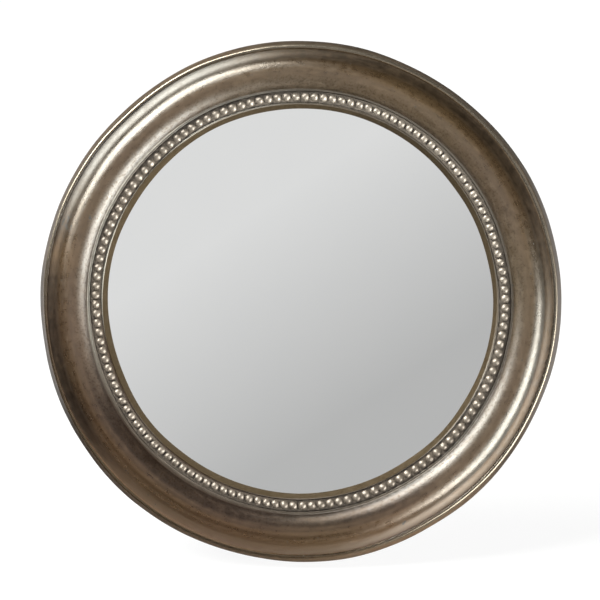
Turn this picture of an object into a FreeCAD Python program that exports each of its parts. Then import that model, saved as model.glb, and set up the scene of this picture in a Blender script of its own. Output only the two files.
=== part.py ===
# Round table mirror: a beaded, half-round moulding, its glazing, and an easel strut at the back.
# Every piece is drawn face up (z is the mirror's normal, z = 0 the back of the frame, y the mirror's top)
# and then stood up on the table by its placement.

import FreeCAD, Part
import Sketcher
import math
import os
import re

# Driving sizes, in millimetres and degrees
SIZES = {
    # moulding section, from the sight edge outwards
    "sight_dia": 220,
    "sight_lip_run": 2.65,
    "inner_fillet_width": 0.85,
    "channel_width": 6.5,
    "outer_fillet_width": 1.3,
    "quirk_run": 0.4,
    "roll_inner_run": 8.9,
    "side_flare": 2.74,
    "rear_round": 1.5,
    # moulding section, from the glass forwards
    "nose_height": 1.2,
    "sight_lip_rise": 4.4,
    "channel_depth": 1.4,
    "fillet_step": 0.8,
    "crest_rise": 5.6,
    # moulding section, curves
    "roll_radius": 11,
    "roll_end_angle": 50,
    "groove_radius": 10,
    "groove_end_angle": 12,
    "outer_lip_radius": 1.5,
    "outer_lip_start_angle": 50,
    # bead strips
    "bead_dia": 5.1,
    "bead_spacing": 5.2,
    "strip_thickness": 0.8,
    "strip_side_gap": 0.15,
    "strip_joint_gap": 0.15,
    # glazing
    "rebate_width": 6.5,
    "glazing_clearance": 1,
    "glass_thickness": 3,
    "card_thickness": 1,
    "board_thickness": 4,
    # screws, shared by the turn buttons and the hanger
    "screw_dia": 3,
    "screw_length": 9.5,
    "screw_head_dia": 6.4,
    "screw_head_height": 1.7,
    "screw_clearance": 0.08,
    "pilot_extra_depth": 0.5,
    # turn buttons
    "button_setback": 7.5,
    "button_reach": 19,
    "button_width": 10,
    "button_thickness": 1.2,
    "button_clearance": 0.25,
    # easel hinge
    "hinge_rise": 65,
    "hinge_width": 32,
    "leaf_thickness": 1,
    "fixed_leaf_height": 22,
    "strut_leaf_height": 30,
    "leaf_corner": 4,
    "pin_dia": 2,
    "pin_clearance": 0.05,
    "pin_head_dia": 3.4,
    "pin_head_height": 0.8,
    "pin_end_gap": 0.1,
    "knuckle_width": 11,
    "knuckle_side_gap": 0.3,
    "knuckle_clearance": 0.5,
    "stop_gap": 0.1,
    # rivets
    "rivet_dia": 2.8,
    "rivet_clearance": 0.05,
    "rivet_head_dia": 5.2,
    "rivet_head_height": 1.1,
    "rivet_edge": 5.5,
    # strut
    "lean_angle": 18,
    "strut_spread": 27,
    "strut_thickness": 3,
    "fold_gap": 1,
    "strut_top_width": 36,
    "foot_width": 86,
    "toe_width": 17,
    "arch_height": 24,
    # keyhole hanger
    "hanger_width": 50,
    "hanger_height": 22,
    "hanger_thickness": 1.5,
    "hanger_screw_spacing": 35,
    "keyhole_dia": 9,
    "keyhole_slot_width": 4.5,
    "keyhole_travel": 7,
    "pocket_margin": 2,
    "pocket_depth": 7,
    # how far a cut runs past the piece that it cuts
    "overrun": 2,
}

BUTTON_COUNT = 4
STRIP_COUNT = 4
BEAD_SIDES = 8
QUARTER_TURN = 360 / STRIP_COUNT

# Bead tiers: height and radius as shares of the bead's radius, a faceted ball
BEAD_TIER_SHARES = [(0, 1), (0.55, 0.84), (0.92, 0.42)]

# Screw and rivet heads: the upright rim as a share of the head's height, the flat crown of its radius
HEAD_RIM_SHARE = 0.4
HEAD_CROWN_SHARE = 0.6

doc = FreeCAD.newDocument("table_mirror")
dims = doc.addObject("Spreadsheet::Sheet", "dims")
for row, (alias, value) in enumerate(SIZES.items(), start=1):
    dims.set(f"A{row}", alias)
    dims.set(f"B{row}", str(value))
    dims.setAlias(f"B{row}", alias)
doc.recompute()

ALIAS = re.compile(r"\b(" + "|".join(SIZES) + r")\b")


def formula(text):
    """An expression on the sheet: every size that the text names is read from its cell."""
    return ALIAS.sub(r"dims.\1", str(text))


def measure(text):
    """The present value of an expression on the sheet."""
    return float(dims.evalExpression(formula(text)))


# Derived places, as expressions on the sheet: radii of the moulding from the axis out to the roll's crest
sight_r = "(sight_dia / 2)"
inner_fillet_r = f"({sight_r} + sight_lip_run)"
channel_in_r = f"({inner_fillet_r} + inner_fillet_width)"
channel_out_r = f"({channel_in_r} + channel_width)"
quirk_r = f"({channel_out_r} + outer_fillet_width)"
roll_start_r = f"({quirk_r} + quirk_run)"
crest_r = f"({roll_start_r} + roll_inner_run)"
rebate_r = f"({sight_r} + rebate_width)"
pane_r = f"({rebate_r} - glazing_clearance)"
bead_row_r = f"({channel_in_r} + channel_width / 2)"

# Heights of the moulding from its back plane forwards
ledge_z = "(board_thickness + card_thickness + glass_thickness)"
inner_fillet_z = f"({ledge_z} + nose_height + sight_lip_rise)"
channel_z = f"({inner_fillet_z} - channel_depth)"
outer_fillet_z = f"({inner_fillet_z} + fillet_step)"
crest_z = f"({outer_fillet_z} + crest_rise)"

# The roll runs out into the groove by a common tangent; the outer lip starts at a crease in the groove
roll_z = f"({crest_z} - roll_radius)"
roll_end_r = f"({crest_r} + roll_radius * sin(roll_end_angle))"
roll_end_z = f"({roll_z} + roll_radius * cos(roll_end_angle))"
groove_r = f"({roll_end_r} + groove_radius * sin(roll_end_angle))"
groove_z = f"({roll_end_z} + groove_radius * cos(roll_end_angle))"
crease_r = f"({groove_r} - groove_radius * sin(groove_end_angle))"
crease_z = f"({groove_z} - groove_radius * cos(groove_end_angle))"
outer_lip_r = f"({crease_r} + outer_lip_radius * sin(outer_lip_start_angle))"
outer_lip_z = f"({crease_z} - outer_lip_radius * cos(outer_lip_start_angle))"

# The flared side is the outer tangent of the lip's curve and the rear round
rear_round_r = f"({outer_lip_r} + side_flare)"
outer_r = f"({rear_round_r} + rear_round)"
side_height = f"({outer_lip_z} - rear_round)"
side_span = f"sqrt(side_flare^2 + {side_height}^2)"
side_angle = f"(atan2(side_flare; {side_height}) - asin((outer_lip_radius - rear_round) / {side_span}))"

# The hinge: sheet wrapped round a pin, its axis behind the board
bore_r = "(pin_dia / 2 + pin_clearance)"
knuckle_r = f"({bore_r} + leaf_thickness)"
axis_depth = f"(fold_gap + strut_thickness - {bore_r})"
heel = f"(({bore_r} * cos(strut_spread) + {axis_depth} - leaf_thickness - stop_gap) / sin(strut_spread))"
knuckle_reach = f"({knuckle_r} + knuckle_clearance)"
fixed_knuckle_start = "(knuckle_width / 2 + knuckle_side_gap)"

# Standing: the rear round touches the table, and the strut reaches it at its own angle
centre_height = f"({rear_round_r} * cos(lean_angle) - rear_round * sin(lean_angle) + rear_round)"
axis_height = f"({centre_height} + hinge_rise * cos(lean_angle) - {axis_depth} * sin(lean_angle))"
strut_tilt = "(strut_spread - lean_angle)"
strut_length = f"({axis_height} / cos({strut_tilt}))"
front_reach = f"({crest_r} * sin(lean_angle) + {roll_z} * cos(lean_angle) + roll_radius)"
axis_setback = f"(hinge_rise * sin(lean_angle) + {axis_depth} * cos(lean_angle))"
rear_reach = f"({axis_setback} + {strut_length} * sin({strut_tilt}) + {knuckle_r} * cos({strut_tilt}))"
centre_setback = f"(({front_reach} - {rear_reach}) / 2)"

# Fasteners
screw_r = "(screw_dia / 2)"
screw_hole_r = f"({screw_r} + screw_clearance)"
button_screw_r = f"({rebate_r} + button_setback)"
rivet_r = "(rivet_dia / 2)"
rivet_hole_r = f"({rivet_r} + rivet_clearance)"
hanger_y = f"(({rebate_r} + {rear_round_r}) / 2)"

pieces = []


def stand(x=0, y=0, z=0, turn=0):
    """The placement of a piece whose own origin lies at x, y, z of the mirror, turned about its normal."""
    centre = FreeCAD.Vector(0, measure(centre_setback), measure(centre_height))
    upright = FreeCAD.Rotation(FreeCAD.Vector(1, 0, 0), 90 - measure("lean_angle"))
    on_mirror = FreeCAD.Placement(
        FreeCAD.Vector(measure(x), measure(y), measure(z)),
        FreeCAD.Rotation(FreeCAD.Vector(0, 0, 1), measure(turn)),
    )
    return FreeCAD.Placement(centre, upright) * on_mirror


def on_hinge(spread):
    """The placement of a piece drawn about the hinge's axis, swung back by an angle."""
    swing = FreeCAD.Rotation(FreeCAD.Vector(1, 0, 0), measure(spread))
    return stand(0, "hinge_rise", f"-{axis_depth}") * FreeCAD.Placement(FreeCAD.Vector(0, 0, 0), swing)


def piece(label, placement):
    """A new body that is one piece of the mirror."""
    body = doc.addObject("PartDesign::Body", label)
    body.Placement = placement
    pieces.append(body)
    return body


def sketch_on(body, role, name, offset="0"):
    """A sketch on one of the body's own planes, moved along that plane's normal."""
    sketch = body.newObject("Sketcher::SketchObject", name)
    plane = [feature for feature in body.Origin.OriginFeatures if feature.Role == role][0]
    sketch.AttachmentSupport = [(plane, "")]
    sketch.MapMode = "FlatFace"
    sketch.setExpression("AttachmentOffset.Base.z", formula(offset))
    return sketch


def pin_point(sketch, edge, end, x, y):
    """Hold one end of an edge at x, y: on an axis where the place is 0, or else by two bound lengths."""
    for kind, axis, place in (("DistanceX", -2, x), ("DistanceY", -1, y)):
        if measure(place) == 0:
            sketch.addConstraint(Sketcher.Constraint("PointOnObject", edge, end, axis))
        else:
            index = sketch.addConstraint(Sketcher.Constraint(kind, -1, 1, edge, end, measure(place)))
            sketch.setExpression(f"Constraints[{index}]", formula(place))


def arc_between(start, end, radius, turn):
    """The shorter arc between two points, turning left (+1) or right (-1)."""
    chord = end - start
    left = FreeCAD.Vector(-chord.y, chord.x, 0).normalize()
    middle = (start + end) / 2
    centre = middle + left * turn * math.sqrt(max(radius**2 - (chord.Length / 2) ** 2, 0))
    first, last = (start, end) if turn > 0 else (end, start)
    angles = [math.atan2(point.y - centre.y, point.x - centre.x) for point in (first, last)]
    return Part.ArcOfCircle(Part.Circle(centre, FreeCAD.Vector(0, 0, 1), radius), *angles)


def outline(sketch, steps):
    """A closed loop through corners (x, y); (x, y, radius, turn) reaches its corner by an arc."""
    corners = [FreeCAD.Vector(measure(step[0]), measure(step[1]), 0) for step in steps]
    ends = []
    for index, step in enumerate(steps):
        start, end = corners[index - 1], corners[index]
        if len(step) == 2:
            edge = sketch.addGeometry(Part.LineSegment(start, end))
            ends.append((edge, 1, 2))
        else:
            edge = sketch.addGeometry(arc_between(start, end, measure(step[2]), step[3]))
            ends.append((edge, 1, 2) if step[3] > 0 else (edge, 2, 1))
    for index, step in enumerate(steps):
        edge, first, last = ends[index]
        before, _, before_last = ends[index - 1]
        sketch.addConstraint(Sketcher.Constraint("Coincident", before, before_last, edge, first))
        pin_point(sketch, edge, last, step[0], step[1])
        if len(step) > 2:
            radius = sketch.addConstraint(Sketcher.Constraint("Radius", edge, measure(step[2])))
            sketch.setExpression(f"Constraints[{radius}]", formula(step[2]))


def circle(sketch, x, y, radius):
    """A whole circle with a bound centre and radius."""
    centre = FreeCAD.Vector(measure(x), measure(y), 0)
    edge = sketch.addGeometry(Part.Circle(centre, FreeCAD.Vector(0, 0, 1), measure(radius)))
    pin_point(sketch, edge, 3, x, y)
    index = sketch.addConstraint(Sketcher.Constraint("Radius", edge, measure(radius)))
    sketch.setExpression(f"Constraints[{index}]", formula(radius))


def pad(body, sketch, length, reverse=False):
    """Raise a sketch into a solid of a bound thickness."""
    feature = body.newObject("PartDesign::Pad", sketch.Name + "_pad")
    feature.Profile = sketch
    feature.setExpression("Length", formula(length))
    feature.Reversed = reverse
    doc.recompute()
    return feature


def cut(body, sketch, depth, reverse=False):
    """Cut a sketch into the body, and make sure that the cut took something away."""
    volume_before = body.Shape.Volume
    feature = body.newObject("PartDesign::Pocket", sketch.Name + "_cut")
    feature.Profile = sketch
    feature.setExpression("Length", formula(depth))
    feature.Reversed = reverse
    doc.recompute()
    if not body.Shape.Volume < volume_before:
        raise RuntimeError(f"{sketch.Label} cuts nothing")
    return feature


def revolve(body, sketch, axis, angle="360"):
    """Turn a section about an axis of its own sketch."""
    feature = body.newObject("PartDesign::Revolution", sketch.Name + "_turned")
    feature.Profile = sketch
    feature.ReferenceAxis = (sketch, [axis])
    feature.setExpression("Angle", formula(angle))
    doc.recompute()
    return feature


def disc(label, from_z, thickness):
    """A round pane of the glazing, lying in the rebate."""
    body = piece(label, stand())
    sketch = sketch_on(body, "XY_Plane", label + "_outline", from_z)
    circle(sketch, 0, 0, pane_r)
    pad(body, sketch, thickness)
    return body


def button_places():
    """Where the turn buttons' screws stand: x and y on the back of the frame, and the angle."""
    for index in range(BUTTON_COUNT):
        angle = (index + 0.5) * 360 / BUTTON_COUNT
        yield f"{button_screw_r} * cos({angle})", f"{button_screw_r} * sin({angle})", angle


def fixed_rivet_places():
    """The fixed leaf's rivets: two pairs above the hinge, measured from its axis."""
    side = "(hinge_width / 2 - rivet_edge)"
    for x in (f"-{side}", side):
        for y in (f"({knuckle_reach} + rivet_edge)", "(fixed_leaf_height - rivet_edge)"):
            yield x, y


def strut_rivet_places():
    """The strut leaf's rivets: two pairs below the hinge, measured from its axis."""
    side = "(hinge_width / 2 - rivet_edge)"
    for x in (f"-{side}", side):
        for y in (f"-({knuckle_reach} + rivet_edge)", "-(strut_leaf_height - rivet_edge)"):
            yield x, y


def hanger_screw_places():
    """The hanger's two screws, measured from the middle of its plate."""
    for side in ("-", ""):
        yield f"{side}hanger_screw_spacing / 2", "0"


def fasteners(label, placement, section, places):
    """A group of alike fasteners, each turned from one section about its own axis."""
    members = []
    for index, (x, y) in enumerate(places):
        body = doc.addObject("PartDesign::Body", f"{label}_{index + 1}")
        body.Placement = FreeCAD.Placement(
            FreeCAD.Vector(measure(x), measure(y), 0), FreeCAD.Rotation()
        )
        sketch = sketch_on(body, "XZ_Plane", f"{label}_{index + 1}_section")
        outline(sketch, section)
        revolve(body, sketch, "V_Axis")
        members.append(body)
    group = doc.addObject("Part::Compound", label)
    group.Links = members
    group.Placement = placement
    pieces.append(group)
    return group


def headed_section(seat, head_r, head_height, shank_r, tip):
    """The half section of a headed fastener: a bevelled head at the back of its seat, the shank in front."""
    crown = f"{seat} - {head_height}"
    return [
        ("0", tip),
        ("0", crown),
        (f"{head_r} * {HEAD_CROWN_SHARE}", crown),
        (head_r, f"{seat} - {head_height} * {HEAD_RIM_SHARE}"),
        (head_r, seat),
        (shank_r, seat),
        (shank_r, tip),
    ]


def build_frame_moulding():
    """The moulding: one turned section, with the hanger's pocket and the screws' pilot holes at the back."""
    body = piece("frame_moulding", stand())
    section = sketch_on(body, "XZ_Plane", "moulding_section")
    roll_start_z = f"{roll_z} + sqrt(roll_radius^2 - roll_inner_run^2)"
    outline(
        section,
        [
            (rebate_r, "0"),
            (rebate_r, ledge_z),
            (sight_r, ledge_z),
            (sight_r, f"{ledge_z} + nose_height"),
            (inner_fillet_r, inner_fillet_z),
            (channel_in_r, inner_fillet_z),
            (channel_in_r, channel_z),
            (channel_out_r, channel_z),
            (channel_out_r, outer_fillet_z),
            (quirk_r, outer_fillet_z),
            (roll_start_r, roll_start_z),
            (roll_end_r, roll_end_z, "roll_radius", -1),
            (crease_r, crease_z, "groove_radius", 1),
            (
                f"{outer_lip_r} + outer_lip_radius * cos({side_angle})",
                f"{outer_lip_z} + outer_lip_radius * sin({side_angle})",
                "outer_lip_radius",
                -1,
            ),
            (
                f"{rear_round_r} + rear_round * cos({side_angle})",
                f"rear_round + rear_round * sin({side_angle})",
            ),
            (rear_round_r, "0", "rear_round", -1),
        ],
    )
    revolve(body, section, "V_Axis")

    pilots = sketch_on(body, "XY_Plane", "screw_pilots")
    for x, y, _ in button_places():
        circle(pilots, x, y, screw_hole_r)
    for x, y in hanger_screw_places():
        circle(pilots, x, f"{hanger_y} + {y}", screw_hole_r)
    cut(body, pilots, "screw_length + pilot_extra_depth", reverse=True)

    pocket = sketch_on(body, "XY_Plane", "hanger_pocket")
    keyhole_outline(pocket, f"{hanger_y} - keyhole_travel / 2", "keyhole_dia / 2 + pocket_margin")
    cut(body, pocket, "pocket_depth", reverse=True)
    return body


def keyhole_outline(sketch, low_y, radius):
    """An upright slot with round ends, from the keyhole's centre up by its travel."""
    high_y = f"{low_y} + keyhole_travel"
    outline(
        sketch,
        [
            (radius, high_y),
            ("0", f"{high_y} + {radius}", radius, 1),
            (f"-({radius})", high_y, radius, 1),
            (f"-({radius})", low_y),
            ("0", f"{low_y} - ({radius})", radius, 1),
            (radius, low_y, radius, 1),
        ],
    )


def build_bead_strip(index):
    """A quarter of the bead row: a thin curved base, and balls spaced along it by a polar pattern."""
    body = piece(f"bead_strip_{index + 1}", stand(turn=index * QUARTER_TURN))
    beads = f"floor(pi * {bead_row_r} / 2 / bead_spacing)"
    pitch = f"({QUARTER_TURN} / {beads})"

    base = sketch_on(body, "XZ_Plane", f"strip_{index + 1}_section")
    strip_in = f"{channel_in_r} + strip_side_gap"
    strip_out = f"{channel_out_r} - strip_side_gap"
    strip_top = f"{channel_z} + strip_thickness"
    outline(
        base,
        [(strip_in, channel_z), (strip_out, channel_z), (strip_out, strip_top), (strip_in, strip_top)],
    )
    joint_angle = f"(strip_joint_gap / {bead_row_r} * 180 / pi)"
    revolve(body, base, "V_Axis", f"{QUARTER_TURN} - {joint_angle}")

    tiers = []
    for tier, (height_share, radius_share) in enumerate(BEAD_TIER_SHARES):
        height = f"{strip_top} + bead_dia / 2 * {height_share}"
        facets = sketch_on(body, "XY_Plane", f"strip_{index + 1}_tier_{tier + 1}", height)
        corners = []
        for side in range(BEAD_SIDES):
            angle = f"({pitch} / 2 + {(side + 0.5) * 360 / BEAD_SIDES})"
            reach = f"bead_dia / 2 * {radius_share}"
            x = f"{bead_row_r} * cos({pitch} / 2) + {reach} * cos({angle})"
            y = f"{bead_row_r} * sin({pitch} / 2) + {reach} * sin({angle})"
            corners.append((x, y))
        outline(facets, corners)
        tiers.append(facets)
    bead = body.newObject("PartDesign::AdditiveLoft", f"strip_{index + 1}_bead")
    bead.Profile = tiers[0]
    bead.Sections = tiers[1:]
    bead.Ruled = True
    doc.recompute()

    row = body.newObject("PartDesign::PolarPattern", f"strip_{index + 1}_row")
    row.Originals = [bead]
    row.Axis = (tiers[0], ["N_Axis"])
    row.setExpression("Angle", formula(f"{QUARTER_TURN} - {pitch}"))
    row.setExpression("Occurrences", formula(beads))
    body.Tip = row
    doc.recompute()
    return body


def build_backboard():
    """The board behind the glass, drilled for the hinge's rivets."""
    body = disc("backboard", "0", "board_thickness")
    holes = sketch_on(body, "XY_Plane", "backboard_holes", "-overrun")
    for x, y in fixed_rivet_places():
        circle(holes, x, f"hinge_rise + {y}", rivet_hole_r)
    cut(body, holes, "board_thickness + 2 * overrun", reverse=True)
    return body


def build_turn_button(index, x, y, angle):
    """A flat tab with round ends that swivels on its screw and overlaps the board."""
    lowest = "-(button_clearance + button_thickness)"
    body = piece(f"turn_button_{index + 1}", stand(x, y, lowest, angle))
    tab = sketch_on(body, "XY_Plane", f"button_{index + 1}_outline")
    half = "(button_width / 2)"
    straight = f"(button_reach - {half})"
    outline(
        tab,
        [
            ("0", f"-{half}"),
            (half, "0", half, 1),
            ("0", half, half, 1),
            (f"-{straight}", half),
            ("-button_reach", "0", half, 1),
            (f"-{straight}", f"-{half}", half, 1),
        ],
    )
    pad(body, tab, "button_thickness")
    eye = sketch_on(body, "XY_Plane", f"button_{index + 1}_eye", "-overrun")
    circle(eye, 0, 0, screw_hole_r)
    cut(body, eye, "button_thickness + 2 * overrun", reverse=True)
    return body


def build_screws():
    """The screws of the turn buttons and of the hanger."""
    button_seat = "-(2 * button_clearance + button_thickness)"
    button_places_xy = [(x, y) for x, y, _ in button_places()]
    head = ("screw_head_dia / 2", "screw_head_height", screw_r, "screw_length")
    fasteners("turn_button_screws", stand(), headed_section(button_seat, *head), button_places_xy)
    hanger_section = headed_section("-hanger_thickness", *head)
    fasteners("hanger_screws", stand(0, hanger_y), hanger_section, hanger_screw_places())


def build_fixed_leaf():
    """The hinge leaf on the board: a plate notched for the strut's knuckle, with a lug at each side."""
    body = piece("hinge_fixed_leaf", stand(0, "hinge_rise"))
    plate = sketch_on(body, "XY_Plane", "fixed_leaf_outline")
    half = "hinge_width / 2"
    shoulder = "fixed_leaf_height - leaf_corner"
    outline(
        plate,
        [
            (fixed_knuckle_start, "0"),
            (half, "0"),
            (half, shoulder),
            (f"{half} - leaf_corner", "fixed_leaf_height", "leaf_corner", 1),
            (f"-({half} - leaf_corner)", "fixed_leaf_height"),
            (f"-{half}", shoulder, "leaf_corner", 1),
            (f"-{half}", "0"),
            (f"-{fixed_knuckle_start}", "0"),
            (f"-{fixed_knuckle_start}", knuckle_reach),
            (fixed_knuckle_start, knuckle_reach),
        ],
    )
    pad(body, plate, "leaf_thickness", reverse=True)

    for name, start in (("left", f"-{half}"), ("right", fixed_knuckle_start)):
        lug = sketch_on(body, "YZ_Plane", f"fixed_lug_{name}", start)
        outline(
            lug,
            [
                (knuckle_r, "0"),
                (f"-{knuckle_r}", "0"),
                (f"-{knuckle_r}", f"-{axis_depth}"),
                ("0", f"-({axis_depth} + {knuckle_r})", knuckle_r, 1),
                (knuckle_r, f"-{axis_depth}", knuckle_r, 1),
            ],
        )
        pad(body, lug, f"{half} - {fixed_knuckle_start}")

    bore = sketch_on(body, "YZ_Plane", "fixed_leaf_bore", f"-({half} + overrun)")
    circle(bore, 0, f"-{axis_depth}", bore_r)
    cut(body, bore, "hinge_width + 2 * overrun", reverse=True)
    holes = sketch_on(body, "XY_Plane", "fixed_leaf_holes", "overrun")
    for x, y in fixed_rivet_places():
        circle(holes, x, y, rivet_hole_r)
    cut(body, holes, "leaf_thickness + 2 * overrun")
    return body


def build_strut_leaf():
    """The hinge leaf on the strut: plate, knuckle, and a heel that meets the fixed leaf when it is open."""
    body = piece("hinge_strut_leaf", on_hinge("strut_spread"))
    plate = sketch_on(body, "XY_Plane", "strut_leaf_outline", f"-{knuckle_r}")
    half = "hinge_width / 2"
    tab = "knuckle_width / 2"
    toe = "leaf_corner - strut_leaf_height"
    outline(
        plate,
        [
            (tab, heel),
            (f"-{tab}", heel),
            (f"-{tab}", f"-{knuckle_reach}"),
            (f"-{half}", f"-{knuckle_reach}"),
            (f"-{half}", toe),
            (f"leaf_corner - {half}", "-strut_leaf_height", "leaf_corner", 1),
            (f"{half} - leaf_corner", "-strut_leaf_height"),
            (half, toe, "leaf_corner", 1),
            (half, f"-{knuckle_reach}"),
            (tab, f"-{knuckle_reach}"),
        ],
    )
    pad(body, plate, "leaf_thickness")

    knuckle = sketch_on(body, "YZ_Plane", "strut_leaf_knuckle", f"-{tab}")
    circle(knuckle, 0, 0, knuckle_r)
    pad(body, knuckle, "knuckle_width")
    bore = sketch_on(body, "YZ_Plane", "strut_leaf_bore", f"-({tab} + overrun)")
    circle(bore, 0, 0, bore_r)
    cut(body, bore, "knuckle_width + 2 * overrun", reverse=True)
    holes = sketch_on(body, "XY_Plane", "strut_leaf_holes", f"-{knuckle_r} - overrun")
    for x, y in strut_rivet_places():
        circle(holes, x, y, rivet_hole_r)
    cut(body, holes, "leaf_thickness + 2 * overrun", reverse=True)
    return body


def build_hinge_pin():
    """The hinge pin, headed at both ends."""
    body = piece("hinge_pin", on_hinge("0"))
    section = sketch_on(body, "XZ_Plane", "pin_section")
    shoulder = "(hinge_width / 2 + pin_end_gap)"
    tip = f"({shoulder} + pin_head_height)"
    outline(
        section,
        [
            (f"-{tip}", "0"),
            (tip, "0"),
            (tip, "pin_head_dia / 2"),
            (shoulder, "pin_head_dia / 2"),
            (shoulder, "pin_dia / 2"),
            (f"-{shoulder}", "pin_dia / 2"),
            (f"-{shoulder}", "pin_head_dia / 2"),
            (f"-{tip}", "pin_head_dia / 2"),
        ],
    )
    revolve(body, section, "H_Axis")
    return body


def build_rivets():
    """The rivets of both leaves, each flush with the far face of the board or strut that it holds."""
    head = ("rivet_head_dia / 2", "rivet_head_height", rivet_r)
    board_section = headed_section("-leaf_thickness", *head, "board_thickness")
    fasteners("hinge_rivets", stand(0, "hinge_rise"), board_section, fixed_rivet_places())
    strut_face = f"strut_thickness - {bore_r}"
    strut_section = headed_section(f"-{knuckle_r}", *head, strut_face)
    fasteners("strut_rivets", on_hinge("strut_spread"), strut_section, strut_rivet_places())


def build_strut():
    """The easel leg: a tapered board with an arch between two toes, bevelled to stand flat on the table."""
    body = piece("strut", on_hinge("strut_spread"))
    board = sketch_on(body, "XY_Plane", "strut_outline", f"-{bore_r}")
    low = f"-({strut_length} + overrun)"
    arch_half = "(foot_width / 2 - toe_width)"
    arch_top = f"(arch_height - {strut_length})"
    arch_radius = f"(({arch_half}^2 + (arch_height + overrun)^2) / (2 * (arch_height + overrun)))"
    outline(
        board,
        [
            ("strut_top_width / 2", f"-{knuckle_reach}"),
            ("-strut_top_width / 2", f"-{knuckle_reach}"),
            ("-foot_width / 2", low),
            (f"-{arch_half}", low),
            ("0", arch_top, arch_radius, -1),
            (arch_half, low, arch_radius, -1),
            ("foot_width / 2", low),
        ],
    )
    pad(body, board, "strut_thickness")

    sole = sketch_on(body, "YZ_Plane", "strut_sole", "-(foot_width / 2 + overrun)")
    back = f"-({bore_r} + overrun)"
    front = f"(strut_thickness - {bore_r} + overrun)"
    outline(
        sole,
        [
            (f"-{strut_length} + ({back}) * tan({strut_tilt})", back),
            (f"-{strut_length} + {front} * tan({strut_tilt})", front),
            (f"{low} - overrun", front),
            (f"{low} - overrun", back),
        ],
    )
    cut(body, sole, "foot_width + 2 * overrun", reverse=True)
    holes = sketch_on(body, "XY_Plane", "strut_holes", f"-{bore_r} - overrun")
    for x, y in strut_rivet_places():
        circle(holes, x, y, rivet_hole_r)
    cut(body, holes, "strut_thickness + 2 * overrun", reverse=True)
    return body


def build_hanger_plate():
    """The keyhole plate: a screw's head goes in at the round hole and slides along the slot."""
    body = piece("hanger_plate", stand(0, hanger_y))
    plate = sketch_on(body, "XY_Plane", "hanger_outline")
    end = "(hanger_height / 2)"
    straight = f"(hanger_width / 2 - {end})"
    outline(
        plate,
        [
            (straight, f"-{end}"),
            (f"{straight} + {end}", "0", end, 1),
            (straight, end, end, 1),
            (f"-{straight}", end),
            (f"-({straight} + {end})", "0", end, 1),
            (f"-{straight}", f"-{end}", end, 1),
        ],
    )
    pad(body, plate, "hanger_thickness", reverse=True)
    depth = "hanger_thickness + 2 * overrun"
    low_y = "(-keyhole_travel / 2)"

    slot = sketch_on(body, "XY_Plane", "keyhole_slot", "overrun")
    keyhole_outline(slot, low_y, "keyhole_slot_width / 2")
    cut(body, slot, depth)
    hole = sketch_on(body, "XY_Plane", "keyhole_entry", "overrun")
    circle(hole, 0, low_y, "keyhole_dia / 2")
    cut(body, hole, depth)
    holes = sketch_on(body, "XY_Plane", "hanger_holes", "overrun")
    for x, y in hanger_screw_places():
        circle(holes, x, y, screw_hole_r)
    cut(body, holes, depth)
    return body


build_frame_moulding()
for strip in range(STRIP_COUNT):
    build_bead_strip(strip)
disc("mirror_plate", "board_thickness + card_thickness", "glass_thickness")
disc("backing_sheet", "board_thickness", "card_thickness")
build_backboard()
for number, place in enumerate(button_places()):
    build_turn_button(number, *place)
build_screws()
build_fixed_leaf()
build_strut_leaf()
build_hinge_pin()
build_rivets()
build_strut()
build_hanger_plate()
doc.recompute()

# Nothing is written unless every object of the document is sound
for item in doc.Objects:
    if "Invalid" in item.State or "Error" in item.State:
        raise RuntimeError(f"{item.Label} failed: {item.State}")
for item in pieces:
    if item.Shape.isNull() or not item.Shape.isValid():
        raise RuntimeError(f"{item.Label} has no sound shape")

os.makedirs("parts", exist_ok=True)
for item in pieces:
    item.Shape.exportStep(f"parts/{item.Label}.step")
    print(item.Label, len(item.Shape.Solids), "solids,", round(item.Shape.Volume), "cubic mm")
for name, text in (
    ("outer radius", outer_r),
    ("depth", crest_z),
    ("strut length", strut_length),
    ("hinge axis height", axis_height),
    ("centre setback", centre_setback),
):
    print(name, round(measure(text), 3))
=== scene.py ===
# %% [markdown]
# # A round table mirror with a beaded silver-leaf frame
# This lesson dresses a finished construction model. The solids say where every piece is, and each cell below
# makes one piece or one finish over them. All lengths are in metres, and the mirror stands on the floor at z = 0.

# %% Load the construction model
import math

import bmesh
import bpy
from mathutils import Matrix, Vector


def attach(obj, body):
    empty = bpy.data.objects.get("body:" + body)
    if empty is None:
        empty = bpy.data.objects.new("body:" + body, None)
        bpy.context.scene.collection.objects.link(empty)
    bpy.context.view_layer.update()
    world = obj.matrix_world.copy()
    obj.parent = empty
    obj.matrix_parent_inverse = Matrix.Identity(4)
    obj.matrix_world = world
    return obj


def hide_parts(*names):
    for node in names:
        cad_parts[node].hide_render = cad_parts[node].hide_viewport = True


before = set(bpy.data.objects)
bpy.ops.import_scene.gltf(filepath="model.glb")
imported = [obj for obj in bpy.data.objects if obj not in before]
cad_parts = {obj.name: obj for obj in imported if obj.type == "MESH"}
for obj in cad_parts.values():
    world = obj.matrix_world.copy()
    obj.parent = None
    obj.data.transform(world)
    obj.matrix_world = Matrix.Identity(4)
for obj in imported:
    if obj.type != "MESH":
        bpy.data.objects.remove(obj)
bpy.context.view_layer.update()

MM = 0.001
print("nodes loaded:", len(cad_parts))

# %% [markdown]
# ## Helpers for working as by hand
# Blender's operators act on whatever is selected, so each step starts by picking one piece and nothing else.
# In edit mode, faces and corners are picked by a test on their place or on the way they face.
# The mirror leans back on its strut. Pieces of the frame are modelled lying on their back, with the mirror's
# centre at the origin and its face up, and are stood up at the end. That keeps every profile and spin simple.

# %% Picking, editing and standing up
LEAN = math.radians(18)
CENTRE = Vector((0, 1.411, 142.265)) * MM
WELD = 0.005 * MM


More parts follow.
